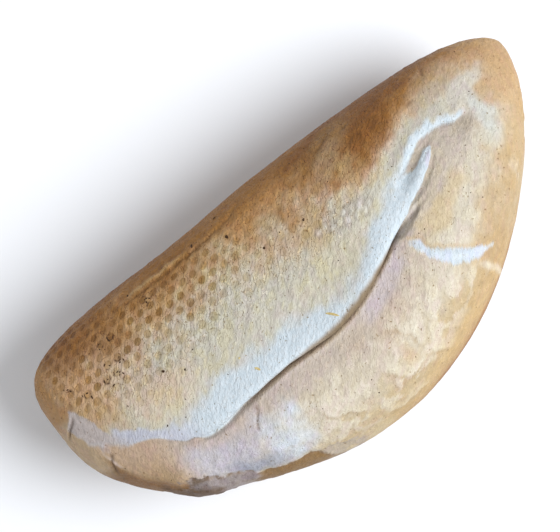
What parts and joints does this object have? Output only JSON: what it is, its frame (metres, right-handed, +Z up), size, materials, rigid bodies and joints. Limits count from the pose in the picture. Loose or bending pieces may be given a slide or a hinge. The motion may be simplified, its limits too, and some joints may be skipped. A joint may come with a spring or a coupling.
{
  "type": "bolillo roll",
  "caption": "Half-moon crusty bread roll lying upside down, its flat baked base on top, with a long deep fold between the base's rounded rim and the swollen side.",
  "frame": {"origin": "on the floor under the middle of the roll's box, as it lies on the crown of its dome", "axes": "+X along the roll towards its sharper end, +Y across it towards the side the base leans to, +Z up"},
  "size_m": [0.1592, 0.0762, 0.0572],
  "materials": {
    "crust": "matte"
  },
  "bodies": {
    "root": {"roll": "crust"}
  },
  "joints": []
}
